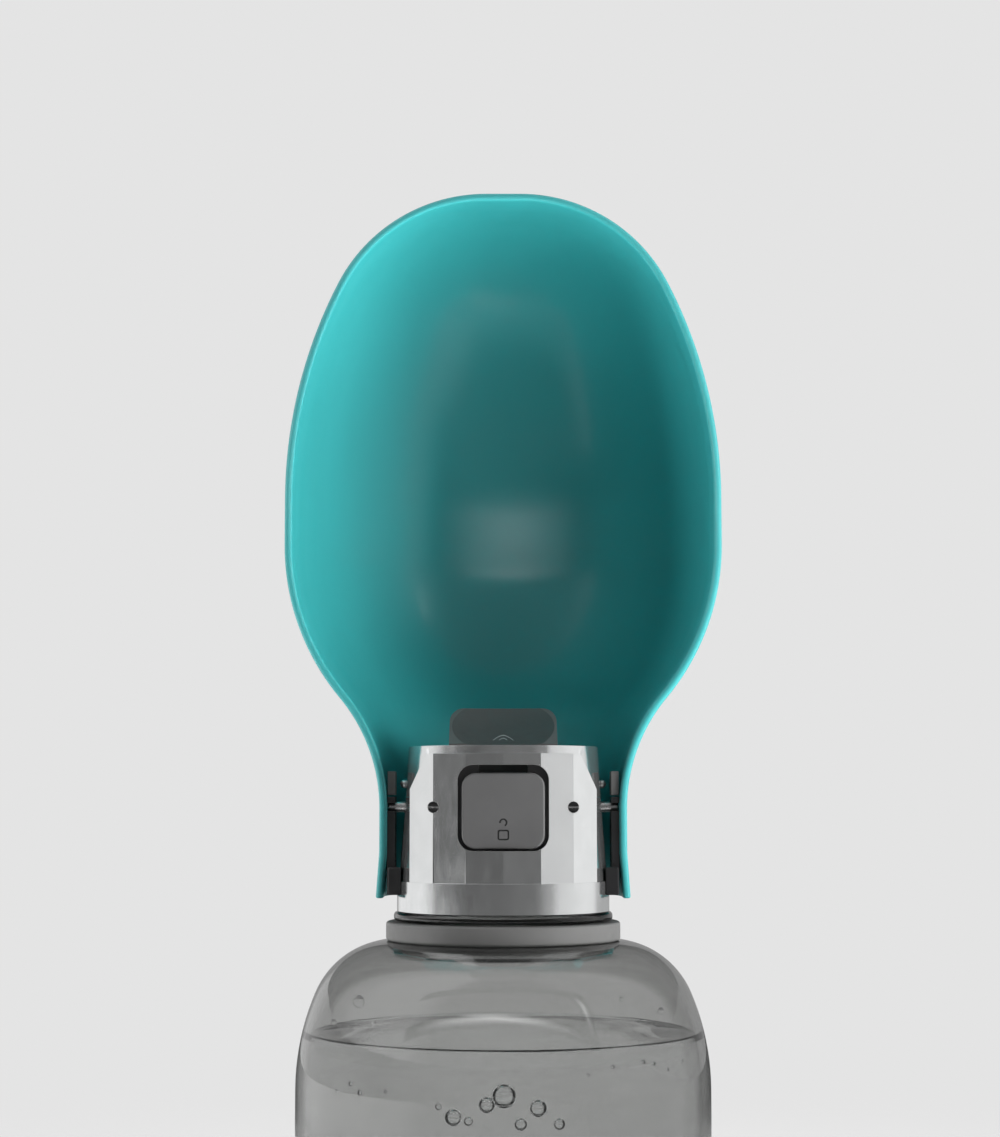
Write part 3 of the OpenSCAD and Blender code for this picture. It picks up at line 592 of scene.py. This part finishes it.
def make_tab():
    """The pressed tab, with a wide thumb dish whose faces take a darker grey than the rest of the tab as
    painted shade.
    """
    bm = bmesh.new()
    bmesh.ops.create_uvsphere(bm, u_segments=160, v_segments=80, radius=DISH_R,
                              matrix=Matrix.Translation(FACE + (DISH_R - DISH_DEEP) * OUT_OF_FACE))
    # the ball's darker grey passes to the dish's faces as painted shade
    ball = new_object("dish_ball", bm, DARK_GREY_AND_DISH_SHADE)
    tab = dressed("tab_pad", "press_tab", "tab", EDGE, 0)
    modifier(tab, "BOOLEAN", operation="DIFFERENCE", solver="EXACT", object=ball, material_mode="TRANSFER")
    tab.data = bpy.data.meshes.new_from_object(tab.evaluated_get(bpy.context.evaluated_depsgraph_get()))
    tab.modifiers.clear()
    bpy.data.objects.remove(ball)
    ease(tab, 0.4, segments=3, angle=14)


def make_chevron():
    """A small raised chevron in the thumb dish, of two bowed bars."""
    half_wide, bow, steps = 0.16, 1.7, 24
    below, above = -0.03, 0.05
    section = ((-half_wide, below), (-half_wide * 0.6, above), (half_wide * 0.6, above), (half_wide, below))
    bm = bmesh.new()
    for reach, low, high in ((1.9, -3.3, -1.2), (0.75, -3.1, -2.35)):
        sections = []
        for k in range(steps + 1):
            t = -1 + k / (steps / 2)
            u, v = reach * t, low + (high - low) * (1 - abs(t) ** bow)
            sections.append([on_dish(u, v + dv, lift) for dv, lift in section])
        add_bar(bm, sections)
    chevron = new_object("tab_chevron", bm, LIGHT)
    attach(chevron, "tab")


def make_cap_and_hinge():
    dressed("trim_ring", "neck_ring", "bottle", TRIM, 0.5, segments=3)
    # the recess walls and floor in the plated cap take the dark grey as painted shade
    dressed("cap_outer", "cap_shell", "cap", PLATING, 0.1, paint=(RECESS_SHADE, in_shaded_recess))
    dressed("slider_face", "lock_slider", "lock", GREY, 0.42, segments=4, rule=slider_edge,
            paint=(MARK, in_mark))
    make_tab()
    make_chevron()
    for side in ("left", "right"):
        dressed(f"arm_plate_{side}", f"hinge_plate_{side}", "bowl", BLACK, 0.15)
        dressed(f"stop_block_{side}", f"hinge_stop_{side}", "cap", BLACK, 0.2)
        dressed(f"click_lug_{side}", f"detent_lug_{side}", "bowl", TRIM, 0.15)
        dressed(f"pivot_{side}", f"hinge_pin_{side}", "cap", STEEL, 0.15)
        # the slot floors of the front screws are painted bright steel as a highlight
        dressed(f"front_screw_{side}", f"set_screw_{side}", "cap", SCREW, 0.06, paint=(SLOT_HIGHLIGHT, in_highlit_screw_slot))


def color_kept_solids():
    """The materials of the solids that are shown as they are."""
    kept = {
        "neck_gasket": SILICONE, "cap_insert": LIGHT, "top_plate": DARK_GREY_AND_DISH_SHADE, "outlet_spout": DARK_GREY_AND_DISH_SHADE,
        "valve_stem": WHITE, "valve_seal": SILICONE, "seal_clip": LIGHT, "valve_spring": STEEL,
        "lock_keeper": LIGHT, "detent_ball_left": STEEL, "detent_ball_right": STEEL,
        "plate_screw_left": SCREW, "plate_screw_right": SCREW,
    }
    for node, material in kept.items():
        for slot in nodes[node].material_slots:
            slot.material = material


# ---- studio ----

def glossy_only(obj):
    """Keeps a light's surface out of everything but reflections."""
    obj.visible_camera = obj.visible_diffuse = obj.visible_transmission = obj.visible_shadow = False


def glowing(name, **values):
    """A material that gives light, with its nodes and its emission's node."""
    material = bpy.data.materials.new(name)
    s = Nodes(material)
    light = s.node("Emission", **values)
    s.link(light.outputs["Emission"], s.node("OutputMaterial").inputs["Surface"])
    return material, s, light


def softboxes(name, outline, strength, stops):
    """A ring of light seen only in reflections.

    stops are (azimuth, level), where 0 is the front and 90 the right."""
    material, s, light = glowing(name, Strength=strength)
    coords = s.node("TexCoord")
    turn = s.node("Mapping", Rotation=(0, 0, math.pi / 2))
    radial = s.node("TexGradient", gradient_type="RADIAL")
    ramp = s.node("ValToRGB")
    ramp.color_ramp.interpolation = "EASE"
    keys = ramp.color_ramp.elements
    for k, (azimuth, level) in enumerate(stops):
        at = 0.5 + azimuth / 360
        key = keys[k] if k < 2 else keys.new(at)
        key.position, key.color = at, (level, level, level, 1)
    s.link(coords.outputs["Object"], turn.inputs["Vector"])
    s.link(turn.outputs["Vector"], radial.inputs["Vector"])
    s.link(radial.outputs["Fac"], ramp.inputs["Fac"])
    s.link(ramp.outputs["Color"], light.inputs["Color"])
    bm = bmesh.new()
    add_lathe(bm, outline, 96)
    glossy_only(new_object(name, bm, material))


def glow_card(name, place, aim, half_wide, half_high, strength):
    """A small soft-edged card of light, for the highlight in the bowl."""
    material, s, light = glowing(name, Strength=strength)
    coords = s.node("TexCoord")
    fall = s.node("TexGradient", gradient_type="QUADRATIC_SPHERE")
    s.link(coords.outputs["Object"], fall.inputs["Vector"])
    s.link(fall.outputs["Fac"], light.inputs["Color"])
    bm = bmesh.new()
    bmesh.ops.create_grid(bm, x_segments=1, y_segments=1, size=1 / MM)
    card = new_object(name, bm, material)
    card.location = place
    card.scale = (half_wide, half_high, 1)
    card.rotation_euler = (Vector(aim) - Vector(place)).to_track_quat("Z", "Y").to_euler()
    glossy_only(card)


def flag_card():
    """A grey flag that keeps the cards' light off the cap's top edge."""
    front_y, half_wide, low, high = -60, 70, 124, 152
    bm = bmesh.new()
    add_grid(bm, [[(x, front_y, z) for x in (-half_wide, half_wide)] for z in (low, high)])
    glossy_only(new_object("flag_card", bm, glowing("flag_grey", Color=(0.15, 0.15, 0.15, 1))[0]))


def soft_lamp(name, place, aim, width, height, power):
    """An area lamp that isn't seen in reflections."""
    data = bpy.data.lights.new(name, "AREA")
    data.shape, data.size, data.size_y, data.energy = "RECTANGLE", width, height, power
    lamp = bpy.data.objects.new(name, data)
    lamp.location = place
    lamp.rotation_euler = (Vector(aim) - Vector(place)).to_track_quat("-Z", "Y").to_euler()
    lamp.visible_glossy = lamp.visible_transmission = False
    bpy.context.scene.collection.objects.link(lamp)


def backdrop():
    """A pale world, as seen directly, in reflections and through the bottle. It hardly lights the object."""
    world = bpy.data.worlds.new("studio")
    bpy.context.scene.world = world
    bright, dim = 0.776, 0.03
    s = Nodes(world)
    path = s.node("LightPath")
    seen = s.node("Math", operation="MAXIMUM")
    s.link(path.outputs["Is Camera Ray"], seen.inputs[0])
    s.link(path.outputs["Is Glossy Ray"], seen.inputs[1])
    seen_all = s.node("Math", operation="MAXIMUM")
    s.link(seen.outputs[0], seen_all.inputs[0])
    s.link(path.outputs["Is Transmission Ray"], seen_all.inputs[1])
    strength = s.node("MapRange", To_Min=dim, To_Max=bright)
    s.link(seen_all.outputs[0], strength.inputs["Value"])
    light = s.node("Background", Color=(1, 1, 1, 1))
    s.link(strength.outputs["Result"], light.inputs["Strength"])
    s.link(light.outputs["Background"], s.node("OutputWorld").inputs["Surface"])


def make_floor():
    """A pale round floor that keeps the shadow and fades into the background."""
    fade_from, fade_to, gap = 0.12, 0.42, 0.0002
    bm = bmesh.new()
    add_lathe(bm, [(0, 0), (200, 0), (600, 0), (1400, 0)], 96)
    material = bpy.data.materials.new("floor_pale")
    s = Nodes(material)
    coords = s.node("TexCoord")
    away = s.node("VectorMath", operation="LENGTH")
    s.link(coords.outputs["Object"], away.inputs[0])
    fade = s.node("MapRange", interpolation_type="SMOOTHSTEP", From_Min=fade_from, From_Max=fade_to)
    s.link(away.outputs["Value"], fade.inputs["Value"])
    matt = s.node("BsdfDiffuse", Color=(0.72, 0.72, 0.72, 1))
    clear = s.node("BsdfTransparent")
    mix = s.node("MixShader")
    s.link(fade.outputs["Result"], mix.inputs[0])
    s.link(matt.outputs["BSDF"], mix.inputs[1])
    s.link(clear.outputs["BSDF"], mix.inputs[2])
    s.link(mix.outputs["Shader"], s.node("OutputMaterial").inputs["Surface"])
    floor = new_object("floor", bm, material)
    floor.location.z = -gap
    # the lamps under the floor shine through it
    floor.visible_shadow = False
    floor.visible_diffuse = False


def make_reflections():
    """What the shiny pieces reflect: three rings of light, two cards of light and a grey flag."""
    # the cap reflects the middle ring, the bottle's side the low one, and its shoulder the high one
    ring_r, low_z, middle_z, high_z, top_z = 1300, -1500, -20, 350, 2600
    softboxes("softbox_middle", [(ring_r, middle_z), (ring_r, high_z)], 1.0, (
        (-180, 0.35), (180, 0.35), (-162, 0.4), (-152, 0.9), (-142, 1.0), (-100, 0.96), (-66, 0.13),
        (-36, 0.08), (-12, 0.1), (34, 0.13), (50, 0.38), (64, 0.8), (100, 1.0), (113, 0.93), (124, 0.5),
        (140, 0.45)))
    softboxes("softbox_low", [(ring_r, low_z), (ring_r, middle_z)], 2.0, (
        (-180, 0.05), (180, 0.05), (-160, 0.06), (-146, 0.2), (-132, 0.7), (-122, 0.9), (-84, 1.0),
        (-62, 0.8), (-40, 0.2), (0, 0.1), (40, 0.15), (84, 0.4), (107, 0.5), (124, 0.3), (138, 0.04)))
    softboxes("softbox_high", [(ring_r, high_z), (ring_r, top_z), (600, 3000)], 2.0, (
        (-180, 0.06), (180, 0.06), (-130, 0.08), (-115, 0.6), (-95, 0.95), (-60, 0.9), (-40, 0.25),
        (0, 0.2), (40, 0.25), (70, 0.5), (110, 0.6), (125, 0.1)))
    glow_card("bowl_glow", (-0.016, -0.2, 0.189), (0.003, 0.043, 0.166), 0.26, 0.018, 10.0)
    glow_card("bowl_streak", (0.34, -0.26, 0.36), (-0.016, 0.04, 0.147), 0.025, 0.17, 6.0)
    flag_card()


def make_lamps():
    """Ten soft lamps, in front of the object, behind it, over it and under it."""
    cap, lower_cap, floor = (0, 0, 0.15), (0, 0, 0.13), (0, 0.05, 0)
    # name, place, aim, width, height and watts. The first seven powers come from a fit of the bowl's
    # brightness to the photo's.
    lamps = (
        ("side_right", (1.174, -0.249, 0.05), cap, 0.4, 0.9, 8.7),
        ("front_right", (1.039, -0.6, 0.05), cap, 0.4, 0.9, 8.4),
        ("low_right", (0.707, -0.843, -0.5), cap, 0.5, 0.5, 3.3),
        ("high_right", (0.93, -0.58, 0.55), cap, 0.4, 0.4, 4.3),
        ("side_left", (-1.182, -0.208, 0.05), cap, 0.5, 0.9, 11.3),
        ("under_front", (0.069, -0.394, -1.0), cap, 0.6, 0.6, 10.7),
        ("under_right", (0.564, -0.205, -1.0), cap, 0.5, 0.5, 8.3),
        ("overhead", (0, 0.4, 1.4), floor, 0.9, 0.9, 14),
        ("back_left", (-0.8, 0.9, 0.35), lower_cap, 0.55, 0.9, 6),
        ("back_right", (0.8, 0.9, 0.35), lower_cap, 0.55, 0.9, 6),
    )
    for lamp in lamps:
        soft_lamp(*lamp)


def make_camera():
    """The camera, level with the cap and looking slightly up."""
    data = bpy.data.cameras.new("camera")
    data.lens, data.sensor_width = 72.8, 36
    cam = bpy.data.objects.new("camera", data)
    cam.location = (-0.0006, -0.438, 0.1063)
    cam.rotation_euler = (math.radians(90 + 5.67), 0, 0)
    bpy.context.scene.collection.objects.link(cam)
    bpy.context.scene.camera = cam


make_bottle()
make_water()
make_bubbles()
make_drops()
make_bowl()
make_cap_and_hinge()
color_kept_solids()

backdrop()
make_floor()
make_reflections()
make_lamps()
make_camera()
bpy.context.scene.view_settings.view_transform = "Standard"
